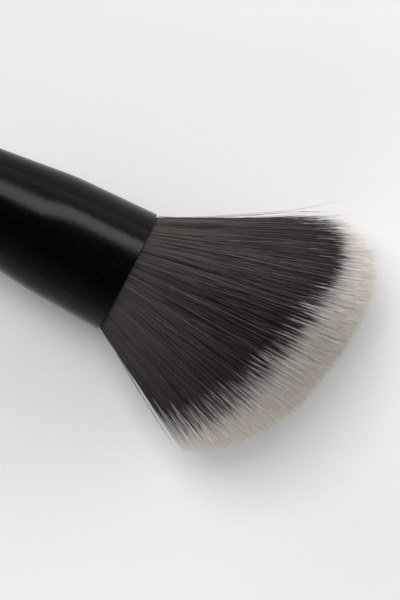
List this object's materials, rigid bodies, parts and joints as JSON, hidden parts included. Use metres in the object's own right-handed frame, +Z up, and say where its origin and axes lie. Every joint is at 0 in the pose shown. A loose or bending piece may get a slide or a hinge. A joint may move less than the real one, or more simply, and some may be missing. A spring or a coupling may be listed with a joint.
{
  "type": "angled blush brush",
  "caption": "Make-up brush lying on its side: a fan of soft dark hair with pale tips, cut as an angled dome, in a flared black ferrule on a slim black handle.",
  "frame": {"origin": "on the table, under the middle of the whole brush", "axes": "+X along the table from the handle's tail to the head, +Y towards the head's long side, +Z up"},
  "size_m": [0.1747, 0.0378, 0.0221],
  "materials": {
    "ferrule_lacquer": "satin",
    "handle_lacquer": "gloss",
    "glue": "satin",
    "hair": "matte"
  },
  "bodies": {
    "root": {"ferrule": "ferrule_lacquer", "handle": "handle_lacquer", "glue_plug": "glue", "hair_tuft": "hair"}
  },
  "joints": []
}
